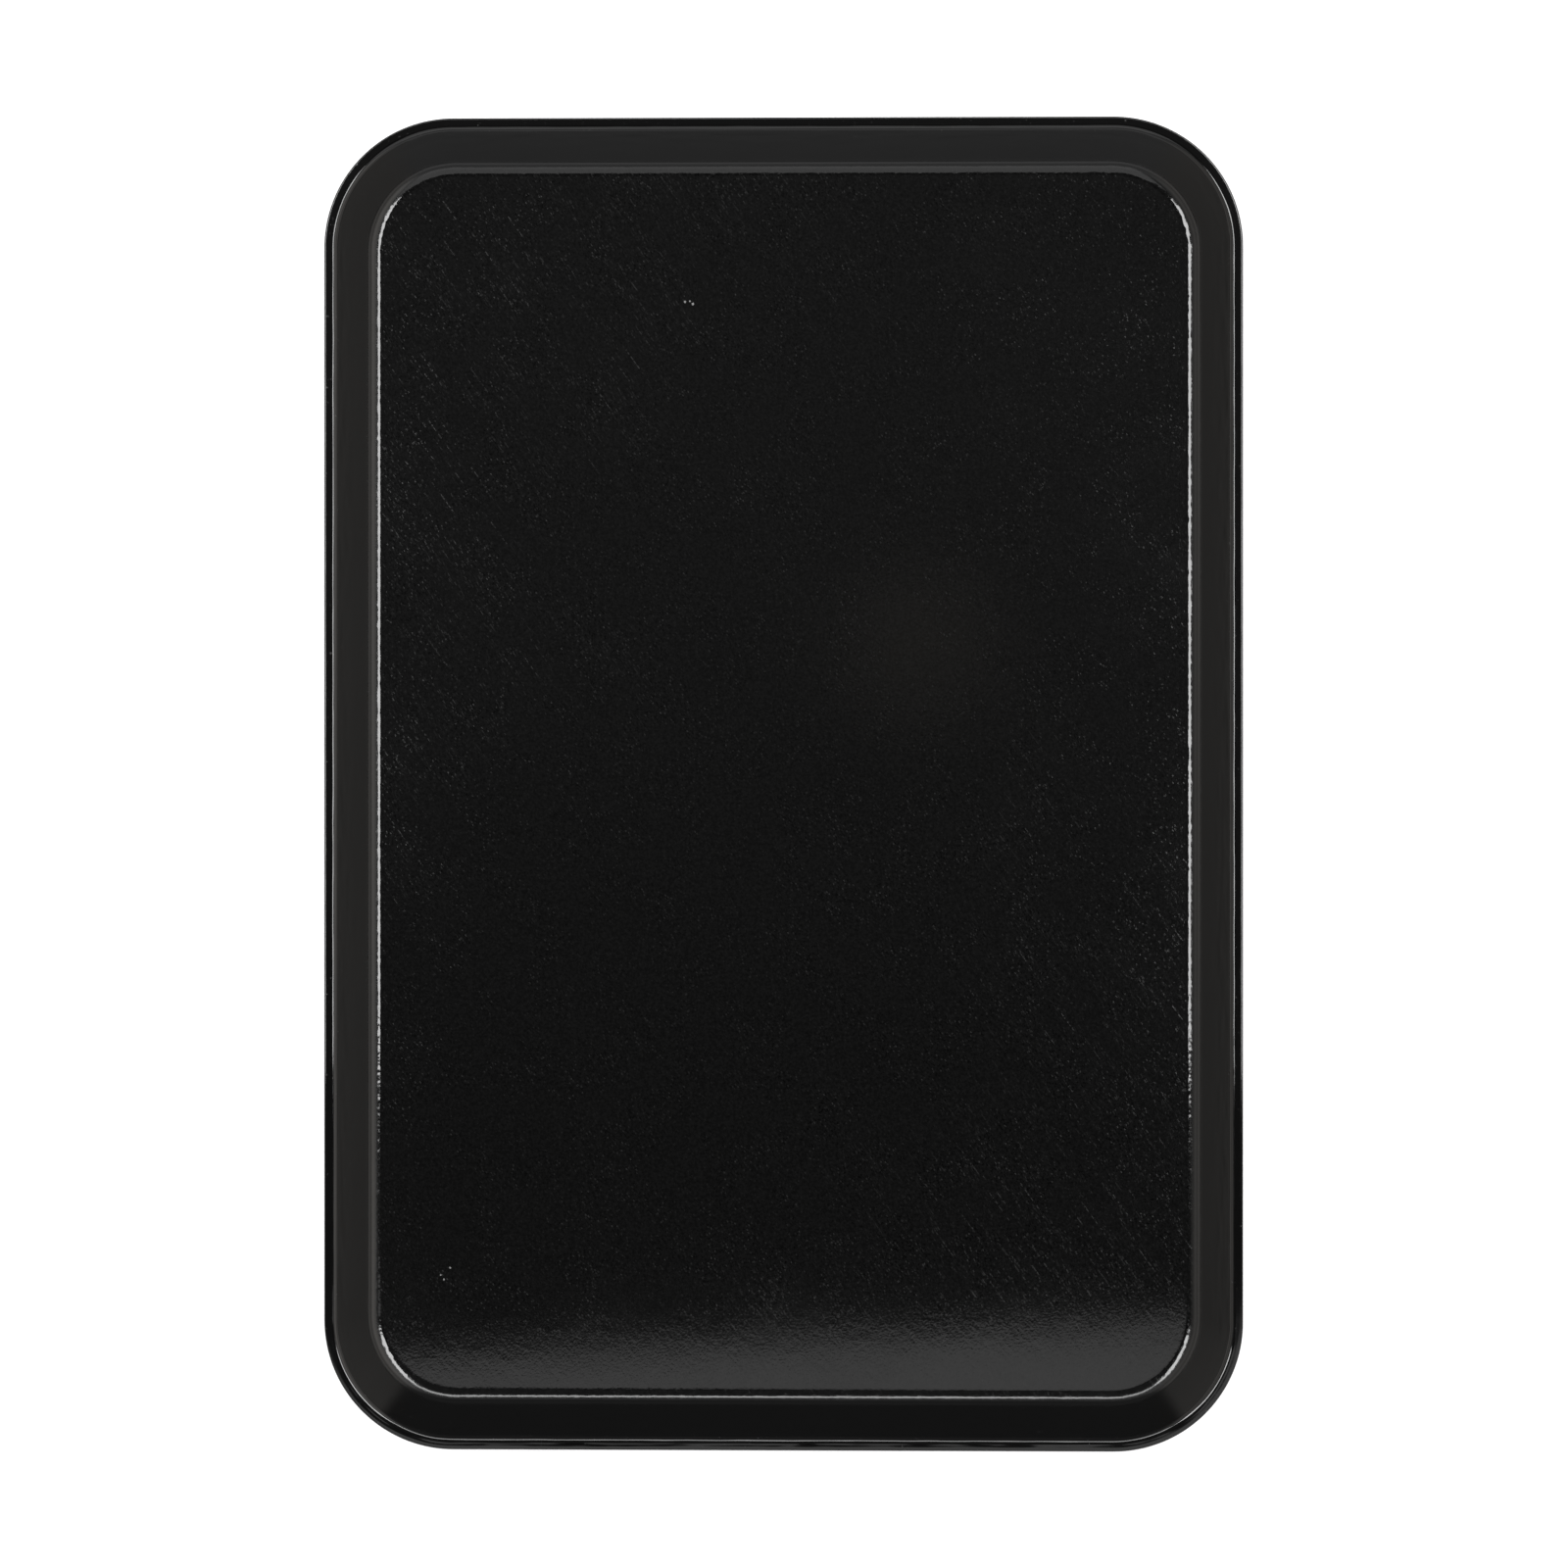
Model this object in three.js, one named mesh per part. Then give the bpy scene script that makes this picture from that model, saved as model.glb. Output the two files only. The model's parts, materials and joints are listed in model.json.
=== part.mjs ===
// A market display tray: a rigid laminate of two glass mats between pigmented surface veils, pressed in one
// mould, with four bent aluminium rods laid in the bead that stiffens its rim.
// Millimetres, +Z up, lying as it is used: +X across its width, +Y along its length, and the origin at the
// middle of its underside.

import * as THREE from "three";

// Overall size, over the rim
const LENGTH = 654.05;
const WIDTH = 450.85;
const HEIGHT = 25.4;
const CORNER_RADIUS = 63.5;

// Section of the rim
const WALL_SLOPE = 55; // degrees, from the floor
const FLOOR_FILLET = 9; // show face, floor into wall
const LIP_ROLL = 4; // show face, wall over into lip
const EDGE_ROUND = 0.7; // both outer edges of the bead
const ROOT_FILLET = 2; // back, wall into the underside of the bead

// Plies, from the show face to the back: veil, mat, mat, veil
const VEIL = 0.4;
const MAT = 1;
const BOND_LINE = 0.1; // resin between two plies, and where the veils meet round the bead

// Rods in the bead
const ROD_DIAMETER = 3.2;
const ROD_CLEARANCE = 0.3; // resin round a rod
const ROD_END_GAP = 6; // between two rods, at the middle of each side

// Facets in each round stretch
const CORNER_STEPS = 10;
const FILLET_STEPS = 5;
const EDGE_STEPS = 3;
const ROD_SIDES = 12;

// Sizes that follow from these
const QUARTER = Math.PI / 2;
const slope = THREE.MathUtils.degToRad(WALL_SLOPE);
const laminate = 2 * (VEIL + MAT) + 3 * BOND_LINE;
const channelRadius = ROD_DIAMETER / 2 + ROD_CLEARANCE;
const matInset = VEIL + BOND_LINE;
const rodInset = matInset + MAT + channelRadius;
const partingHeight = HEIGHT - rodInset;
const beadBottom = HEIGHT - 2 * rodInset;
const roundRise = (FLOOR_FILLET + LIP_ROLL) * (1 - Math.cos(slope));
const roundRun = (FLOOR_FILLET + LIP_ROLL) * Math.sin(slope);
const wallRise = HEIGHT - laminate - roundRise;
const floorInset = rodInset + roundRun + wallRise / Math.tan(slope);

// A section point is (distance in from the outline, height). Depths are measured down from the show face.
const point = (inset, height) => new THREE.Vector2(inset, height);

// The inset, at some height, of a plane parallel to the straight part of the wall.
function wallInset(height, depth) {
  const startInset = floorInset - FLOOR_FILLET * Math.sin(slope);
  const startHeight = laminate + FLOOR_FILLET * (1 - Math.cos(slope));
  return startInset - (depth + (height - startHeight) * Math.cos(slope)) / Math.sin(slope);
}

// The fillet under the bead is no larger than the straight back of the wall leaves room for.
const backFilletTop = laminate + FLOOR_FILLET - (laminate + FLOOR_FILLET) * Math.cos(slope);
const rootRoom = (beadBottom - backFilletTop) / (1 - Math.cos(slope));
const rootFillet = Math.min(ROOT_FILLET, rootRoom);
const rootHeight = beadBottom - rootFillet;

const floorCentre = point(floorInset, laminate + FLOOR_FILLET);
const lipCentre = point(rodInset, HEIGHT - LIP_ROLL);
const topEdgeCentre = point(EDGE_ROUND, HEIGHT - EDGE_ROUND);
const bottomEdgeCentre = point(EDGE_ROUND, beadBottom + EDGE_ROUND);
const rootCentre = point(wallInset(rootHeight, laminate + rootFillet), rootHeight);
const rodCentre = point(rodInset, partingHeight);

function arc(centre, radius, from, to, steps) {
  return Array.from({ length: steps + 1 }, (_, i) => {
    const angle = from + ((to - from) * i) / steps;
    return point(centre.x + radius * Math.cos(angle), centre.y + radius * Math.sin(angle));
  });
}

const floorFillet = (depth) =>
  arc(floorCentre, FLOOR_FILLET + depth, -QUARTER, -QUARTER - slope, FILLET_STEPS);

// Faces of the plies, from the floor out to the rim

function showSide(depth) {
  return [
    ...floorFillet(depth),
    ...arc(lipCentre, LIP_ROLL - depth, QUARTER - slope, QUARTER, FILLET_STEPS),
    ...arc(topEdgeCentre, EDGE_ROUND - depth, QUARTER, 2 * QUARTER, EDGE_STEPS),
  ];
}

function backSide(cover) {
  return [
    ...floorFillet(laminate - cover),
    ...arc(rootCentre, rootFillet + cover, QUARTER - slope, QUARTER, FILLET_STEPS),
    ...arc(bottomEdgeCentre, EDGE_ROUND - cover, 3 * QUARTER, 2 * QUARTER, EDGE_STEPS),
  ];
}

// The face where a mat meets the other one and half wraps the rod: side is 1 above the rod, -1 below it.
function rodSide(side) {
  const height = partingHeight + (side * BOND_LINE) / 2;
  const depth = laminate / 2 - (side * BOND_LINE) / 2;
  const start = Math.asin(BOND_LINE / 2 / channelRadius);
  return [
    ...floorFillet(depth),
    point(wallInset(height, depth), height),
    ...arc(rodCentre, channelRadius, side * start, side * (Math.PI - start), ROD_SIDES / 2),
    point(matInset, height),
  ];
}

// A veil stops at the parting line, halfway down the outside of the bead.
const veilEdge = (inset, side) => point(inset, partingHeight + (side * BOND_LINE) / 2);

// Solids

// One closed body from a stack of like rings, with a flat convex cap on the first and the last.
function solidOf(rings) {
  const count = rings[0].length;
  const last = (rings.length - 1) * count;
  const index = [];
  for (let start = 0; start < last; start += count) {
    for (let i = 0; i < count; i++) {
      const next = (i + 1) % count;
      index.push(start + i, start + count + i, start + count + next);
      index.push(start + i, start + count + next, start + next);
    }
  }
  for (let i = 1; i < count - 1; i++) {
    index.push(0, i, i + 1);
    index.push(last, last + i + 1, last + i);
  }
  const geometry = new THREE.BufferGeometry().setFromPoints(rings.flat());
  geometry.setIndex(index);
  geometry.computeVertexNormals();
  return geometry;
}

// A quarter of the outline's rounding, at some distance in from the outline.
function corner(inset, quarter) {
  const side = Math.sign(Math.cos((quarter + 0.5) * QUARTER));
  const end = Math.sign(Math.sin((quarter + 0.5) * QUARTER));
  const centre = point(side * (WIDTH / 2 - CORNER_RADIUS), end * (LENGTH / 2 - CORNER_RADIUS));
  return arc(centre, CORNER_RADIUS - inset, quarter * QUARTER, (quarter + 1) * QUARTER, CORNER_STEPS);
}

const outline = (inset) => [0, 1, 2, 3].flatMap((quarter) => corner(inset, quarter));

// A ply is its section carried round the outline, closed by the flat floor above and below.
function ply(upper, lower) {
  const section = [...upper, ...lower.reverse()];
  return solidOf(
    section.map(({ x: inset, y: height }) =>
      outline(inset).map(({ x, y }) => new THREE.Vector3(x, y, height)),
    ),
  );
}

// A rod runs from the middle of a long side, round a corner, to the middle of a short side.
function rod() {
  const section = arc(rodCentre, ROD_DIAMETER / 2, 4 * QUARTER, 0, ROD_SIDES).slice(1);
  const fibres = section.map(({ x: inset, y: height }) =>
    [
      point(WIDTH / 2 - inset, ROD_END_GAP / 2),
      ...corner(inset, 0),
      point(ROD_END_GAP / 2, LENGTH / 2 - inset),
    ].map(({ x, y }) => new THREE.Vector3(x, y, height)),
  );
  return solidOf(fibres[0].map((_, station) => fibres.map((fibre) => fibre[station])));
}

// Finishes
const blackVeil = { color: 0x131313, roughness: 0.22, metalness: 0 };
const resinMat = { color: 0x2c2d2a, roughness: 0.7, metalness: 0 };
const aluminium = { color: 0xb8babd, roughness: 0.4, metalness: 1 };

function piece(name, geometry, finish) {
  const mesh = new THREE.Mesh(geometry, new THREE.MeshStandardMaterial(finish));
  mesh.name = name;
  return mesh;
}

const showVeil = ply(
  [...showSide(0), veilEdge(0, 1)],
  [...showSide(VEIL), veilEdge(VEIL, 1)],
);
const backVeil = ply(
  [...backSide(VEIL), veilEdge(VEIL, -1)],
  [...backSide(0), veilEdge(0, -1)],
);

const tray = new THREE.Group();
tray.add(piece("show_face_veil", showVeil, blackVeil));
tray.add(piece("upper_glass_mat", ply(showSide(matInset), rodSide(1)), resinMat));
tray.add(piece("lower_glass_mat", ply(rodSide(-1), backSide(matInset)), resinMat));
tray.add(piece("back_veil", backVeil, blackVeil));

for (const [end, lengthwise] of [["front", -1], ["back", 1]]) {
  for (const [hand, crosswise] of [["left", -1], ["right", 1]]) {
    const bar = piece(`rim_rod_${end}_${hand}`, rod(), aluminium);
    bar.scale.set(crosswise, lengthwise, 1);
    tray.add(bar);
  }
}

export default tray;
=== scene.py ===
"""The market tray's looks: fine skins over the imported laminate, their finishes, a studio and the camera.

Lengths are in metres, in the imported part's own frame: +X across the tray, +Y along it, +Z up. Inside the
finishes, places and heights are in millimetres.
"""

import json
import math
from functools import cached_property

import bpy
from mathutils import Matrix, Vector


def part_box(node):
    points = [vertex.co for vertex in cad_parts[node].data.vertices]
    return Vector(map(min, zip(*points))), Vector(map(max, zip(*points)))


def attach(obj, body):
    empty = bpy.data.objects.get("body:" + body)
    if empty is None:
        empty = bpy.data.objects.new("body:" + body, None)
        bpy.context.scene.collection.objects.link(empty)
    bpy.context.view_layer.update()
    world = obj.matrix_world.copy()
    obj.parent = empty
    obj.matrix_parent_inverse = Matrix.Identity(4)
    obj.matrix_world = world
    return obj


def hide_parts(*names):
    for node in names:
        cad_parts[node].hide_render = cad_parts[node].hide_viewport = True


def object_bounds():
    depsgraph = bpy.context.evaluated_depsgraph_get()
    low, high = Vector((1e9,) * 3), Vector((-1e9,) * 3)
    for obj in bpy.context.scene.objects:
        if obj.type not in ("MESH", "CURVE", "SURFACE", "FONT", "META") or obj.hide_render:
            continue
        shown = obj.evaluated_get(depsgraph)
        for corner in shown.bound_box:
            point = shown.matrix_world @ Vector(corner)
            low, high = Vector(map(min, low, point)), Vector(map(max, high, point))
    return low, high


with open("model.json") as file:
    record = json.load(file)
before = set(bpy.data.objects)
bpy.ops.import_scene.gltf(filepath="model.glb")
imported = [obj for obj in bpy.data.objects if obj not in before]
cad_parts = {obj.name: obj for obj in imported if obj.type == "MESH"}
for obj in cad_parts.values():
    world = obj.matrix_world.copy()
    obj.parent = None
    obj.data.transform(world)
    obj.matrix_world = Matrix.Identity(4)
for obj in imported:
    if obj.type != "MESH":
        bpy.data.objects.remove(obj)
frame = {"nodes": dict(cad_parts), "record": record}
cad_low, cad_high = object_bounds()

MM = 0.001

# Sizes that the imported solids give
WIDTH, LENGTH, HEIGHT = cad_high - cad_low
rod_low, rod_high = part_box("rim_rod_front_left")
PARTING_HEIGHT = (rod_low.z + rod_high.z) / 2
LIP_INSET = HEIGHT - PARTING_HEIGHT
BEAD_BOTTOM = HEIGHT - 2 * LIP_INSET
LAMINATE = next(m["pos_m"][2] for m in frame["record"]["mounts"] if m["name"] == "tray_floor")

# The rim's section, as in the solids
CORNER_RADIUS = 63.5 * MM
WALL_SLOPE = 55  # degrees, from the floor
FLOOR_FILLET = 9 * MM
LIP_ROLL = 4 * MM
EDGE_ROUND = 0.7 * MM
ROOT_FILLET = 2 * MM
VEIL = 0.4 * MM
BOND_LINE = 0.1 * MM
SEAM_CHAMFER = 0.15 * MM

# Fineness of the skins
CORNER_STEPS = 40
FILLET_STEPS = 18
ROLL_STEPS = 14
EDGE_STEPS = 8
SUPPORT = 1.2 * MM  # loops that keep the flat stretches flat where they meet a round one
SUPPORT_SHARE = 0.1  # of a short run, where that is less
SIDE_SUPPORT = 6 * MM
SHARP_ANGLE = math.radians(28)

# Where the floor's grain dies out, as a share of the fillet
GRAIN_END = 0.9

slope = math.radians(WALL_SLOPE)
round_rise = (FLOOR_FILLET + LIP_ROLL) * (1 - math.cos(slope))
round_run = (FLOOR_FILLET + LIP_ROLL) * math.sin(slope)
FLOOR_INSET = LIP_INSET + round_run + (HEIGHT - LAMINATE - round_rise) / math.tan(slope)


# Skins: a section is a list of points (inset from the outline, height)

def moved(point, angle, distance):
    """A point shifted some distance, in a direction given in degrees."""
    turn = math.radians(angle)
    return (point[0] + distance * math.cos(turn), point[1] + distance * math.sin(turn))


def arc(centre, radius, start, end, steps):
    """Points on a round stretch, both ends included; angles in degrees."""
    return [moved(centre, start + (end - start) * i / steps, radius) for i in range(steps + 1)]


def between(a, b, distance):
    """The point at some distance from a towards b."""
    share = distance / math.dist(a, b)
    return (a[0] + (b[0] - a[0]) * share, a[1] + (b[1] - a[1]) * share)


def supported(*stretches):
    """The stretches in a row, with a loop beside each end of the straight runs between them."""
    points = list(stretches[0])
    for stretch in stretches[1:]:
        last, first = points[-1], stretch[0]
        distance = min(SUPPORT, SUPPORT_SHARE * math.dist(last, first))
        points += [between(last, first, distance), between(first, last, distance)]
        points += stretch
    return points


def floor_fillet(depth):
    """The round from floor to wall, some depth under the show face, after a loop on the floor."""
    centre = (FLOOR_INSET, LAMINATE + FLOOR_FILLET)
    bend = arc(centre, FLOOR_FILLET + depth, -90, -90 - WALL_SLOPE, FILLET_STEPS)
    return [(FLOOR_INSET + SUPPORT, bend[0][1]), *bend]


def show_side(depth):
    """A face some depth under the show face, from the floor out to the bead's upper edge."""
    edge = (EDGE_ROUND, HEIGHT - EDGE_ROUND)
    return supported(
        floor_fillet(depth),
        arc((LIP_INSET, HEIGHT - LIP_ROLL), LIP_ROLL - depth, 90 - WALL_SLOPE, 90, ROLL_STEPS),
        arc(edge, EDGE_ROUND - depth, 90, 180, EDGE_STEPS),
    )


def wall_inset(height, depth):
    """The inset, at some height, of a plane parallel to the straight part of the wall."""
    start_inset = FLOOR_INSET - FLOOR_FILLET * math.sin(slope)
    start_height = LAMINATE + FLOOR_FILLET * (1 - math.cos(slope))
    rise = (height - start_height) * math.cos(slope)
    return start_inset - (depth + rise) / math.sin(slope)


def back_side(cover):
    """A face with some cover over the back, from the floor out to the bead's lower edge."""
    root_height = BEAD_BOTTOM - ROOT_FILLET
    root = (wall_inset(root_height, LAMINATE + ROOT_FILLET), root_height)
    edge = (EDGE_ROUND, BEAD_BOTTOM + EDGE_ROUND)
    return supported(
        floor_fillet(LAMINATE - cover),
        arc(root, ROOT_FILLET + cover, 90 - WALL_SLOPE, 90, ROLL_STEPS),
        arc(edge, EDGE_ROUND - cover, 270, 180, EDGE_STEPS),
    )


def veil_seam(side):
    """The veil's edge at the parting line, a little chamfered outside, from the outside in."""
    height = PARTING_HEIGHT + side * BOND_LINE / 2
    return [(0, height + side * SEAM_CHAMFER), (SEAM_CHAMFER, height), (VEIL, height)]


def outline(inset):
    """The tray's outline, some distance in, anticlockwise from the right-hand side."""
    points = []
    for start in (0, 90, 180, 270):
        towards = math.radians(start + 45)
        centre_x = math.copysign(WIDTH / 2 - CORNER_RADIUS, math.cos(towards))
        centre_y = math.copysign(LENGTH / 2 - CORNER_RADIUS, math.sin(towards))
        bend = arc((centre_x, centre_y), CORNER_RADIUS - inset, start, start + 90, CORNER_STEPS)
        points.append(moved(bend[0], start - 90, SIDE_SUPPORT))
        points += bend
        points.append(moved(bend[-1], start + 180, SIDE_SUPPORT))
    return points


def grain_at(inset):
    """1 on the floor, fading to 0 most of the way up the fillet."""
    reach = FLOOR_FILLET * math.sin(slope) * GRAIN_END
    share = min(max((inset - (FLOOR_INSET - reach)) / reach, 0), 1)
    return share * share * (3 - 2 * share)


def wear_at(height):
    """1 on top of the rim, where a tray is knocked and rubbed, fading to 0 a little way down its sides."""
    return max(0, 1 - (HEIGHT - height) / LIP_ROLL)


def run_at(inset):
    """The distance outwards from the edge of the flat floor, in mm."""
    return (FLOOR_INSET - inset) / MM


def skin(name, section):
    """One closed shell: the section carried round the outline, with the flat floor as its two caps."""
    rings = [outline(inset) for inset, _ in section]
    count = len(rings[0])
    vertices = [(x, y, height) for ring, (_, height) in zip(rings, section) for x, y in ring]
    faces = []
    for row in range(len(section) - 1):
        for i in range(count):
            a, b = row * count + i, row * count + (i + 1) % count
            faces.append((a, a + count, b + count, b))
    last = (len(section) - 1) * count
    faces.append(tuple(range(count)))
    faces.append(tuple(last + i for i in reversed(range(count))))
    mesh = bpy.data.meshes.new(name)
    mesh.from_pydata(vertices, [], faces)
    mesh.polygons.foreach_set("use_smooth", [True] * len(mesh.polygons))
    mesh.set_sharp_from_angle(angle=SHARP_ANGLE)
    levels = {
        "grain": [grain_at(inset) for inset, _ in section],
        "wear": [wear_at(height) for _, height in section],
        "run": [run_at(inset) for inset, _ in section],
    }
    for label, rows in levels.items():
        values = [level for level in rows for _ in range(count)]
        mesh.attributes.new(label, "FLOAT", "POINT").data.foreach_set("value", values)
    piece = bpy.data.objects.new(name, mesh)
    bpy.context.scene.collection.objects.link(piece)
    return piece


# Node trees

class Nodes:
    """A node tree, with short calls that make a node, set or join its inputs and give its output."""

    NUMBER_RESULTS = ("DOT_PRODUCT", "DISTANCE")

    def __init__(self, tree):
        self.tree = tree

    def add(self, kind, inputs=None, **settings):
        made = self.tree.nodes.new(kind)
        for key, value in settings.items():
            setattr(made, key, value)
        for key, value in (inputs or {}).items():
            self.set(made.inputs[key], value)
        return made

    def set(self, socket, value):
        if isinstance(value, bpy.types.NodeSocket):
            self.tree.links.new(value, socket)
        else:
            socket.default_value = value

    def vector(self, operation, *values, **named):
        inputs = {**dict(enumerate(values)), **named}
        made = self.add("ShaderNodeVectorMath", inputs, operation=operation)
        return made.outputs["Value" if operation in self.NUMBER_RESULTS else "Vector"]

    def axes(self, vector):
        return self.add("ShaderNodeSeparateXYZ", {0: vector}).outputs

    def math(self, operation, *values):
        return self.add("ShaderNodeMath", dict(enumerate(values)), operation=operation).outputs[0]

    def joined(self, operation, first, *others):
        for other in others:
            first = self.math(operation, first, other)
        return first

    def total(self, *values):
        return self.joined("ADD", *values)

    def product(self, *values):
        return self.joined("MULTIPLY", *values)

    def largest(self, *values):
        return self.joined("MAXIMUM", *values)

    def step(self, value, low, high, to_low=0.0, to_high=1.0):
        """A smooth step from to_low at low to to_high at high."""
        inputs = {"Value": value, "From Min": low, "From Max": high, "To Min": to_low, "To Max": to_high}
        return self.add("ShaderNodeMapRange", inputs, interpolation_type="SMOOTHSTEP").outputs["Result"]

    def colour(self, share, low, high):
        inputs = {"Factor": share, "A": (*low, 1), "B": (*high, 1)}
        return self.add("ShaderNodeMix", inputs, data_type="RGBA").outputs["Result"]

    def seen_rays(self):
        """1 for a ray by which the camera, a gloss or a glass sees its end, 0 for one that only lights."""
        path = self.add("ShaderNodeLightPath").outputs
        return self.largest(path["Is Camera Ray"], path["Is Glossy Ray"], path["Is Transmission Ray"])


class Finish(Nodes):
    """A material's node tree, with patterns laid out in mm."""

    def __init__(self, name):
        self.material = bpy.data.materials.new(name)
        self.material.use_nodes = True
        super().__init__(self.material.node_tree)

    def finished(self, inputs):
        """The material, once its surface has these inputs."""
        surface = self.tree.nodes["Principled BSDF"]
        for key, value in inputs.items():
            self.set(surface.inputs[key], value)
        return self.material

    @cached_property
    def mm(self):
        """The place on the surface."""
        coords = self.add("ShaderNodeTexCoord").outputs["Object"]
        return self.vector("SCALE", coords, Scale=1 / MM)

    def stretch(self, angle, scale):
        """The place on the surface, turned about Z and then scaled along each axis."""
        inputs = {"Vector": self.mm, "Angle": angle}
        turned = self.add("ShaderNodeVectorRotate", inputs, rotation_type="Z_AXIS")
        return self.vector("MULTIPLY", turned.outputs[0], scale)

    def noise(self, place, scale=1.0, detail=2.0, roughness=0.5, distortion=0.0):
        inputs = {"Vector": place, "Scale": scale, "Detail": detail}
        inputs |= {"Roughness": roughness, "Distortion": distortion}
        return self.add("ShaderNodeTexNoise", inputs).outputs["Fac"]

    def chopped(self, angle, length, spacing, width, power):
        """Straight bits of thread that lie one way, each with a strength of its own, most of them weak."""
        place = self.stretch(angle, (1 / length, 1 / spacing, 0))
        cell = self.add("ShaderNodeTexVoronoi", {"Vector": place, "Scale": 1.0}, voronoi_dimensions="2D")
        offset = self.vector("ABSOLUTE", self.vector("SUBTRACT", place, cell.outputs["Position"]))
        along, across, _ = self.axes(offset)
        edge = width / spacing
        body = self.product(self.step(across, edge, edge / 3), self.step(along, 0.45, 0.25))
        own = self.add("ShaderNodeSeparateColor", {"Color": cell.outputs["Color"]}).outputs[0]
        return self.product(body, self.math("POWER", own, power))

    def attribute(self, name):
        return self.add("ShaderNodeAttribute", attribute_name=name).outputs["Fac"]

    def bump(self, height):
        inputs = {"Height": height, "Strength": 1.0, "Distance": MM}
        return self.add("ShaderNodeBump", inputs).outputs["Normal"]


# Black resin, and the glass in it, which carries painted glints

def grey(level):
    return (level, level, level)


RESIN_IOR = 1.56
RESIN_BLACK = grey(0.0008)
BACK_BLACK = grey(0.0094)
BARE_GLASS = grey(0.5)

# Tones, as shares of the way from the resin's black to bare glass
DARK_MOTTLE = 0.0052
PALE_MOTTLE = 0.0116
# the glass specks' tone is partly real pale glass and partly painted glints of the side lamps
GLASS_AND_GLINT_TONE = 0.028
RUBBED_TONE = 0.12
NICK_TONE = 0.47

# Roughness of the show face, and what is added to it
CLEAN_ROUGHNESS = 0.045
SMUDGED_ROUGHNESS = 0.070
WALL_ROUGHNESS = 0.13
GLASS_ROUGHNESS = 0.15
RUBBED_ROUGHNESS = 0.20
NICK_ROUGHNESS = 0.5

# Heights of the show face's bump, and how far the rim's fall reaches, in mm
RIPPLE_HEIGHT = 0.009
WEAVE_HEIGHT = 0.008
PEEL_HEIGHT = 0.010
WAVE_HEIGHT = 0.07
LIP_STREAK_HEIGHT = 0.10
RIM_STREAK_HEIGHT = 0.025
RIM_FALL = 0.034
RIM_FALL_RUN = 1.9
ROUND_SWELLS = ((0.0, 1.6, 0.064), (0.6, 2.8, 0.089))  # start and end of each along the run, and height

# Glass strands print through the floor from upper left to lower right
STRAND_ANGLE = math.radians(56)
DASH_ANGLE = STRAND_ANGLE + 0.06
THREAD_ANGLE = STRAND_ANGLE - 0.03
GLINT_CORNERS_AXIS = (0.8, -0.6, 0.0)  # towards the two corners where the painted glints of the side lamps are strongest

NICKS = (  # worn through to pale glass: x, y and radius in mm
    (-48.9, 239.1, 0.5), (-46.5, 239.3, 0.35), (-45.0, 237.9, 0.6),
    (-165.8, -241.1, 0.45), (-170.6, -244.7, 0.35), (-168.9, -247.0, 0.45),
)


def glass_and_painted_glints(s, reach, patches):
    """Glass in the floor, pale partly as real glass and partly as painted glints of the lamps: strewn ends,
    and far out dashes and broken threads that lie one way.
    """
    ends = s.chopped(STRAND_ANGLE, length=1.5, spacing=1.3, width=0.46, power=6.0)
    strewn = s.product(ends, patches, s.step(reach, 0, 200, 0.75, 0.90))
    rows = s.noise(s.stretch(STRAND_ANGLE, (0.03, 0.20, 0.1)))
    dashes = s.chopped(DASH_ANGLE, length=2.8, spacing=1.4, width=0.43, power=3.0)
    dashes = s.product(dashes, s.step(rows, 0.46, 0.64, 0.05, 0.75))
    gaps = s.noise(s.stretch(STRAND_ANGLE, (0.6, 0.4, 0.1)), detail=1.0)
    threads = s.chopped(THREAD_ANGLE, length=30, spacing=5.0, width=0.42, power=1.0)
    threads = s.product(threads, s.step(gaps, 0.48, 0.62))
    # dashes and threads show only out towards the corners, where they carry the painted glints
    lying = s.product(s.largest(dashes, threads), s.step(reach, 60, 230, 0.0, 0.92))
    return s.largest(lying, strewn)


def floor_ground(s, reach, patches):
    """The tone of the resin round the glass: a faint mottle with dark pits."""
    mottle = s.step(s.noise(s.mm, scale=0.75), 0.3, 0.7, DARK_MOTTLE, PALE_MOTTLE)
    pits = s.noise(s.stretch(STRAND_ANGLE, (0.8, 1.2, 0.1)), detail=1.0)
    pits = s.product(s.step(pits, 0.30, 0.46, 1.0, 0.0), s.step(reach, 0, 200, 0.65, 1.0), patches)
    return s.product(mottle, s.math("SUBTRACT", 1.0, pits))


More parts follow.
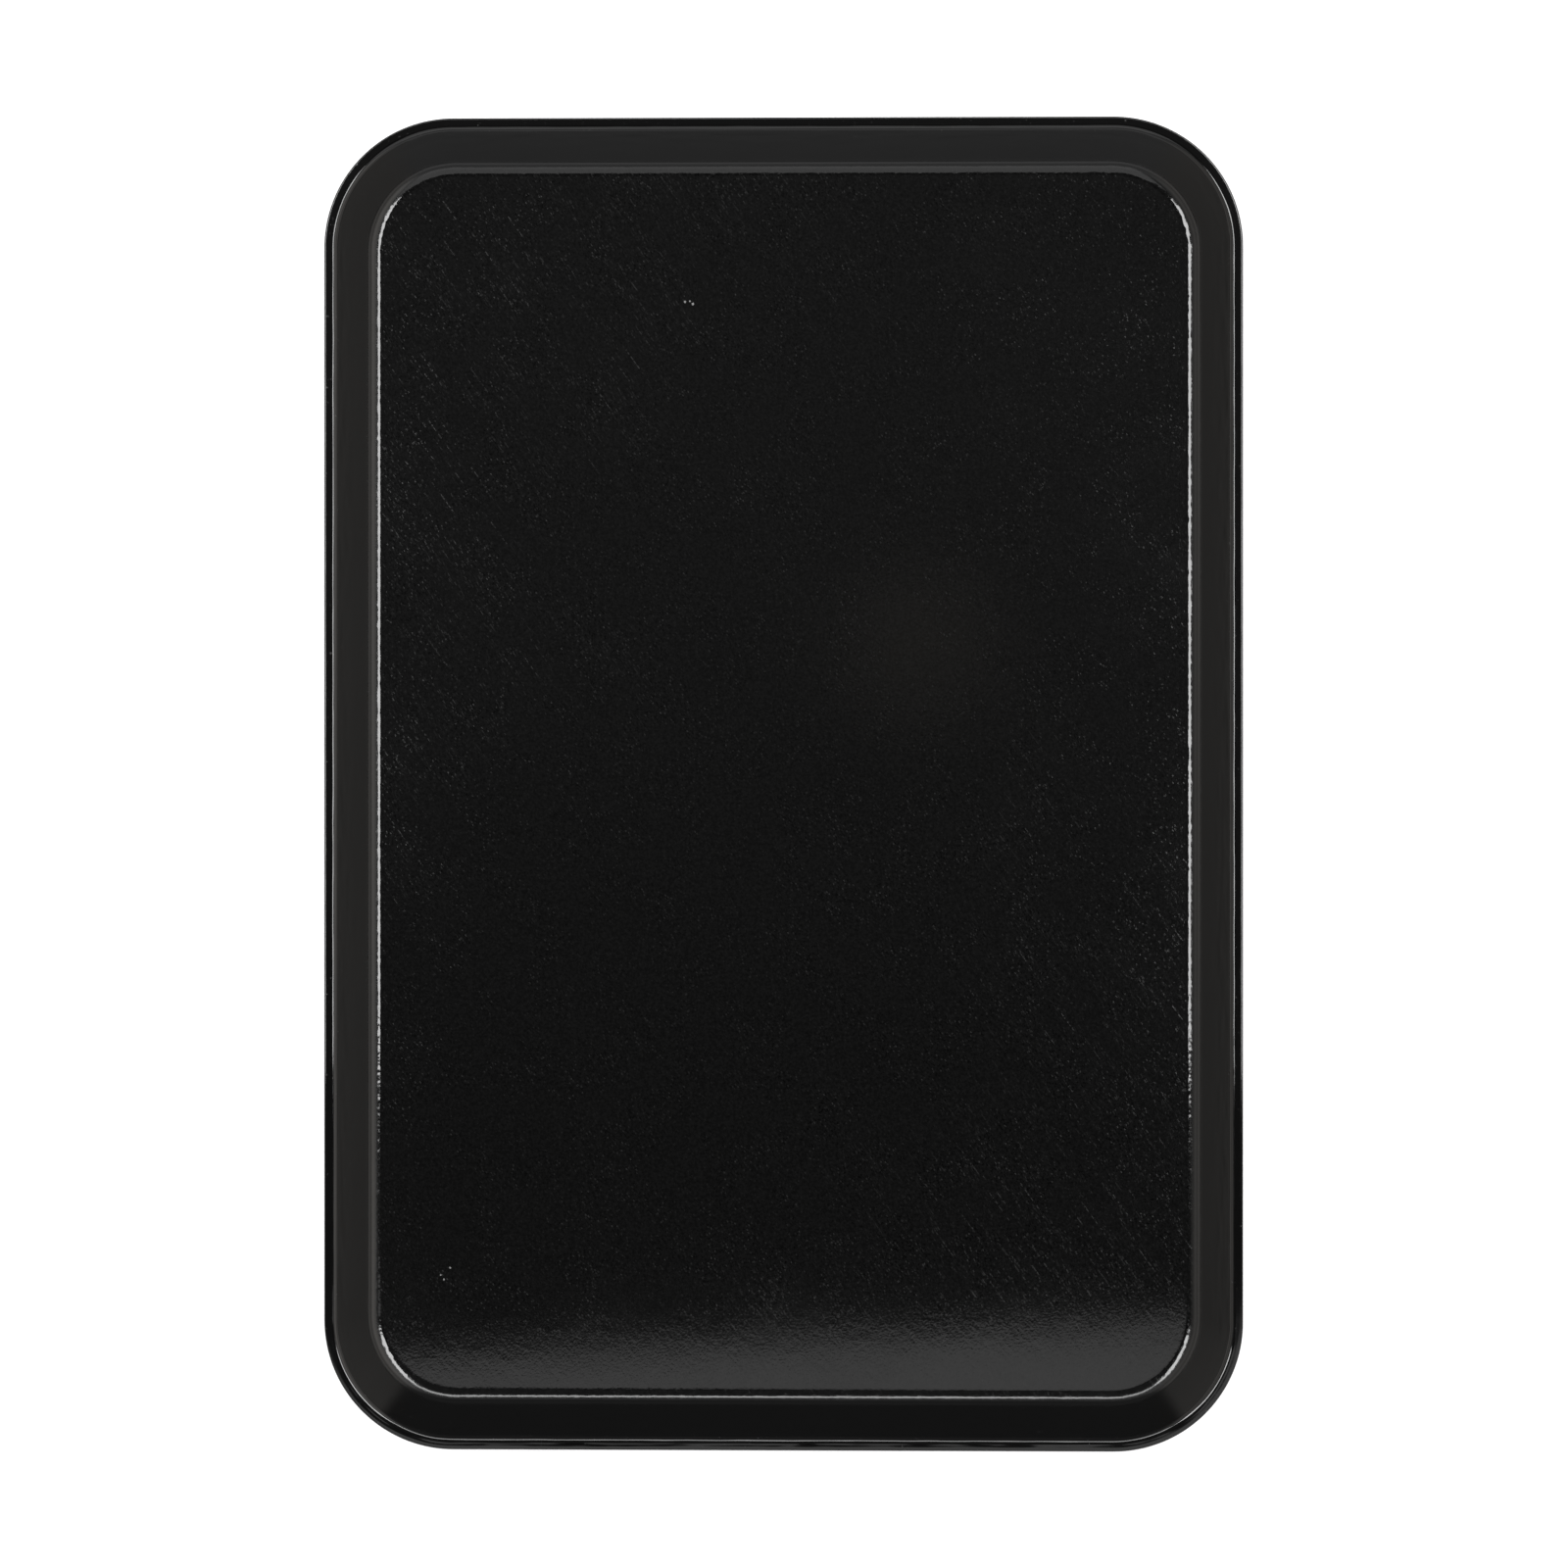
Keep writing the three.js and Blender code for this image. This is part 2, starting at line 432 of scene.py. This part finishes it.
def gloss_height(s, grain, wear, run):
    """A rippled floor, a wavy round that starts sharply, and a rim streaked along its length."""
    ripple = s.noise(s.mm, scale=0.85, detail=1.5)
    weave = s.noise(s.stretch(STRAND_ANGLE, (0.14, 0.40, 0.1)), detail=1.0)
    on_floor = s.total(s.product(ripple, RIPPLE_HEIGHT), s.product(weave, WEAVE_HEIGHT))
    peel = s.noise(s.mm, scale=0.10, detail=1.0)

    # The floor's round
    waves = s.math("SUBTRACT", s.noise(s.mm, scale=0.30, detail=1.0), 0.5)
    in_round = s.product(s.step(grain, 0.85, 0.999, 1.0, 0.0), s.step(grain, 0.0, 0.4))
    swells = [s.step(run, start, end, 0.0, height) for start, end, height in ROUND_SWELLS]

    # The rim falls a little towards the lip, and its streaks vary slowly along it and quickly across
    lip = run_at(LIP_INSET)
    along = s.vector("MULTIPLY", s.mm, (0.05, 0.05, 0))
    across = s.add("ShaderNodeCombineXYZ", {"Z": s.product(run, 0.37)}).outputs[0]
    streaks = s.math("SUBTRACT", s.noise(s.vector("ADD", along, across), detail=1.0), 0.5)
    streak_height = s.step(run, lip - 0.5, lip + 0.8, LIP_STREAK_HEIGHT, RIM_STREAK_HEIGHT)
    return s.total(
        s.product(on_floor, grain),
        s.product(peel, PEEL_HEIGHT),
        s.product(waves, in_round, WAVE_HEIGHT),
        *swells,
        s.product(streaks, streak_height, s.step(wear, 0.0, 0.4)),
        s.step(run, lip, lip + RIM_FALL_RUN, 0.0, RIM_FALL),
    )


def nicks(s):
    """1 inside the nicks, which have ragged edges."""
    on_plan = s.vector("MULTIPLY", s.mm, (1, 1, 0))
    ragged = s.product(s.noise(s.mm, scale=1.1), 0.6)
    spots = []
    for x, y, radius in NICKS:
        distance = s.total(s.vector("DISTANCE", on_plan, (x, y, 0)), ragged)
        spots.append(s.step(distance, radius + 0.5, radius + 0.1))
    return s.largest(*spots)


def black_gloss():
    """Pigmented polyester: a mirror-like rim, and a rippled floor with strands and specks of glass in it,
    their pale tone partly painted glints of the lamps.
    """
    s = Finish("black_gloss")
    grain, wear, run = s.attribute("grain"), s.attribute("wear"), s.attribute("run")

    # How far a place lies towards the two corners where the glints are painted strongest, in mm, with a
    # cloudy limit
    cloud = s.noise(s.mm, scale=0.012, detail=3.0)
    off_middle = s.math("ABSOLUTE", s.vector("DOT_PRODUCT", s.mm, GLINT_CORNERS_AXIS))
    reach = s.total(off_middle, s.step(cloud, 0.3, 0.7, -70, 70))
    patches = s.step(s.noise(s.mm, scale=0.045), 0.38, 0.60, 0.35, 1.0)
    # glass in the floor, whose pale tone is partly a painted highlight standing for the lamps' glints
    glass = s.product(glass_and_painted_glints(s, reach, patches), grain)
    floor_tone = s.product(floor_ground(s, reach, patches), grain)
    wall_tone = s.step(grain, 0.0, 1.0, DARK_MOTTLE, 0.0)

    # Use: smudges, rubbed edges and a few nicks
    smudge = s.noise(s.mm, scale=0.013, detail=4.0, roughness=0.6, distortion=0.4)
    rubs = s.noise(s.mm, scale=0.35, detail=4.0, roughness=0.7)
    rubbed = s.product(s.step(rubs, 0.64, 0.75), wear)
    chips = s.product(nicks(s), grain)
    worn = s.largest(s.product(rubbed, RUBBED_TONE), s.product(chips, NICK_TONE))

    # the glass share of the tone is painted glint as well as glass
    tone = s.total(s.product(glass, GLASS_AND_GLINT_TONE), floor_tone, wall_tone, worn)
    on_wall = s.product(s.step(grain, 0.0, 1.0, WALL_ROUGHNESS, 0.0), s.step(wear, 0.0, 0.5, 1.0, 0.0))
    rough = s.total(
        s.step(smudge, 0.3, 0.75, CLEAN_ROUGHNESS, SMUDGED_ROUGHNESS),
        on_wall,
        s.product(glass, GLASS_ROUGHNESS),
        s.product(rubbed, RUBBED_ROUGHNESS),
        s.product(chips, NICK_ROUGHNESS),
    )
    return s.finished({
        "Base Color": s.colour(tone, RESIN_BLACK, BARE_GLASS),
        "Roughness": rough,
        "Normal": s.bump(gloss_height(s, grain, wear, run)),
        "IOR": RESIN_IOR,
    })


def black_back():
    """The underside: the same resin off a plainer mould face, with strands showing, smudges and scratches."""
    s = Finish("black_back")
    strand_scale = (0.030, 0.20, 0.1)
    strands = s.noise(s.stretch(STRAND_ANGLE, strand_scale), detail=3.0, roughness=0.6)
    crossing = s.noise(s.stretch(-STRAND_ANGLE, strand_scale), detail=3.0, roughness=0.6)
    pebbles = s.noise(s.mm, scale=0.5)
    smudge = s.noise(s.mm, scale=0.02, detail=5.0, roughness=0.65, distortion=0.6)
    scratches = s.step(s.noise(s.stretch(0.4, (0.012, 1.4, 0.1))), 0.66, 0.74)
    height = s.total(
        s.product(s.total(strands, crossing), 0.02),
        s.product(pebbles, 0.012),
        s.product(scratches, -0.008),
    )
    tone = s.total(s.step(smudge, 0.35, 0.7, 0.0, 0.012), s.product(scratches, 0.03))
    rough = s.total(s.step(smudge, 0.3, 0.75, 0.30, 0.44), s.product(scratches, 0.15))
    return s.finished({
        "Base Color": s.colour(tone, BACK_BLACK, BARE_GLASS),
        "Roughness": rough,
        "Normal": s.bump(height),
        "IOR": RESIN_IOR,
    })


# Inside the laminate

def glass_mat():
    """Chopped glass strands lying all ways in dark resin."""
    s = Finish("glass_mat")
    layers = []
    for angle in (0.35, 1.4, 2.45):
        strand = s.noise(s.stretch(angle, (0.04, 0.9, 0.3)), distortion=0.3)
        layers.append(s.step(strand, 0.56, 0.68))
    strands = s.largest(*layers)
    return s.finished({
        "Base Color": s.colour(strands, (0.018, 0.018, 0.016), (0.075, 0.078, 0.068)),
        "Roughness": s.step(strands, 0, 1, 0.62, 0.45),
        "Normal": s.bump(s.product(strands, 0.05)),
    })


def drawn_aluminium():
    """Rod stock with faint draw lines along it and a dulled skin."""
    s = Finish("drawn_aluminium")
    dull = s.noise(s.mm, scale=0.12, detail=4.0, roughness=0.6)
    lines = s.noise(s.vector("MULTIPLY", s.mm, (0.6, 0.6, 9.0)))
    return s.finished({
        "Base Color": s.colour(dull, (0.62, 0.63, 0.64), (0.80, 0.81, 0.82)),
        "Roughness": s.step(dull, 0.3, 0.7, 0.28, 0.46),
        "Normal": s.bump(s.product(lines, 0.006)),
        "Metallic": 1.0,
    })


# Pieces

def dress(piece, node, material):
    """Gives a skin its finish, hangs it on the root body, and hides the node that it stands for."""
    piece.data.materials.append(material)
    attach(piece, "root")
    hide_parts(node)


show_face = skin("show_face", [*show_side(0), *veil_seam(1), *reversed(show_side(VEIL))])
back_face = skin("back_face", [*back_side(VEIL), *reversed(veil_seam(-1)), *reversed(back_side(0))])
dress(show_face, "show_face_veil", black_gloss())
dress(back_face, "back_veil", black_back())

hidden_finishes = {"glass_mat": glass_mat(), "rim_rod": drawn_aluminium()}
for name, node in frame["nodes"].items():
    for kind, finish in hidden_finishes.items():
        if kind in name:
            node.data.materials.clear()
            node.data.materials.append(finish)


# Studio

FLOOR_SPAN = 40
FLOOR_DROP = 0.2 * MM
FLOOR_COLOUR = grey(0.70)
FLOOR_GLOW = 0.70  # what lifts the floor to white where it is seen


def floor_finish():
    """A pale floor that is seen as white, faintly darker in the tray's shadow."""
    s = Finish("studio_floor")
    return s.finished({
        "Base Color": (*FLOOR_COLOUR, 1),
        "Roughness": 0.9,
        "Specular IOR Level": 0.0,
        "Emission Color": (1, 1, 1, 1),
        "Emission Strength": s.product(s.seen_rays(), FLOOR_GLOW),
    })


def studio_floor():
    half = FLOOR_SPAN / 2
    mesh = bpy.data.meshes.new("studio_floor")
    corners = [(-half, -half, 0), (half, -half, 0), (half, half, 0), (-half, half, 0)]
    mesh.from_pydata(corners, [], [(0, 1, 2, 3)])
    mesh.materials.append(floor_finish())
    floor = bpy.data.objects.new("studio_floor", mesh)
    floor.location.z = -FLOOR_DROP
    bpy.context.scene.collection.objects.link(floor)


ROOM_LEVEL = 0.833
UNSEEN_SHARE = 0.25  # of the room's level, for rays that only bring light
FAR_END_SHARE = 0.12
WARM_SPOT = (0.019, 0.017, 1)  # the way, from the tray, to a faint warm patch overhead
WARM_SPOT_SIZE = 0.040
WARM_SPOT_LEVEL = 0.10
NEUTRAL = (1, 1, 1)
WARM = (1.08, 1, 0.90)


def room():
    """The room round the studio: dim overhead and at the far end, pale low down on the other three sides."""
    world = bpy.data.worlds.new("room")
    bpy.context.scene.world = world
    world.use_nodes = True
    s = Nodes(world.node_tree)
    way = s.add("ShaderNodeTexCoord").outputs["Generated"]
    x, y, z = s.axes(way)
    sideways = s.math("ABSOLUTE", x)
    low_band = s.product(
        s.step(z, 0.02, 0.21, 0.5, 1.0),
        s.step(z, 0.24, 0.36, 0.97, 0.45),
        s.step(z, 0.6, 0.8, 1.0, 0.0),
    )
    side_walls = s.product(
        s.step(z, 0.34, 0.62, 0.0, 0.5),
        s.step(z, 0.80, 0.92, 1.0, 0.0),
        s.step(sideways, 0.3, 0.5),
        s.step(x, -0.4, 0.4, 0.7, 2.2),
    )
    pale = s.product(s.total(low_band, side_walls), s.step(y, 0.73, 0.83, 1.0, FAR_END_SHARE))
    everywhere = s.step(y, -0.14, 0.10, 0.03, 0.08)
    spot = s.step(s.vector("DISTANCE", way, WARM_SPOT), 0.0, WARM_SPOT_SIZE, 1.0, 0.0)
    glow = s.total(pale, everywhere, s.step(spot, 0.0, 1.0, 0.0, WARM_SPOT_LEVEL))
    level = s.step(s.seen_rays(), 0.0, 1.0, UNSEEN_SHARE * ROOM_LEVEL, ROOM_LEVEL)
    warmth = s.total(s.step(sideways, 0.3, 0.7, 0.0, 0.5), spot)
    background = s.tree.nodes["Background"].inputs
    s.set(background["Strength"], s.product(glow, level))
    s.set(background["Color"], s.colour(warmth, NEUTRAL, WARM))


LAMP_HEIGHT = 3
STRIP_ENDS = (-0.45, 1.35)  # of the two side strips, along the tray
SIDE_RADIANCE = 11.7
FAR_RADIANCE = 6.7
CARD_RADIANCE = 0.83
CARD_TURN = 3  # degrees


def panel(name, x_range, y_range, radiance, turn=0):
    """An even softbox that hangs level over the tray, turned by some degrees."""
    light = bpy.data.lights.new(name, "AREA")
    light.shape = "RECTANGLE"
    light.size, light.size_y = x_range[1] - x_range[0], y_range[1] - y_range[0]
    light.energy = radiance * math.pi * light.size * light.size_y
    lamp = bpy.data.objects.new(name, light)
    lamp.location = (sum(x_range) / 2, sum(y_range) / 2, LAMP_HEIGHT)
    lamp.rotation_euler.z = math.radians(turn)
    bpy.context.scene.collection.objects.link(lamp)


studio_floor()
room()
panel("left_strip", (-1.42, -0.86), STRIP_ENDS, SIDE_RADIANCE)
panel("right_strip", (0.66, 1.22), STRIP_ENDS, SIDE_RADIANCE)
panel("far_strip", (-1.0, 1.0), (1.35, 2.10), FAR_RADIANCE)
panel("near_card", (-0.95, 1.20), (-3.70, -0.79), CARD_RADIANCE, CARD_TURN)


# Camera: level above the tray, a little off its middle, as in the photo

PHOTO_SPAN = 769.0 * MM  # the photo's width, in the plane of the lip
SENSOR_WIDTH = 36
CAMERA_DISTANCE = 1.8
CAMERA_YAW = math.radians(1.0)
CAMERA_RISE = 38.5 * MM  # towards the far side, taken back by the lens shift
CAMERA_SIDESTEP = 0.65 * MM

camera = bpy.data.cameras.new("camera")
camera.sensor_width = SENSOR_WIDTH
camera.lens = SENSOR_WIDTH * CAMERA_DISTANCE / PHOTO_SPAN
camera.shift_y = -CAMERA_RISE / PHOTO_SPAN
viewer = bpy.data.objects.new("camera", camera)
viewer.location.x = CAMERA_DISTANCE * math.sin(CAMERA_YAW) + CAMERA_SIDESTEP
viewer.location.y = CAMERA_RISE
viewer.location.z = HEIGHT + CAMERA_DISTANCE * math.cos(CAMERA_YAW)
viewer.rotation_euler.y = CAMERA_YAW
bpy.context.scene.collection.objects.link(viewer)
bpy.context.scene.camera = viewer

bpy.context.scene.view_settings.view_transform = "Standard"
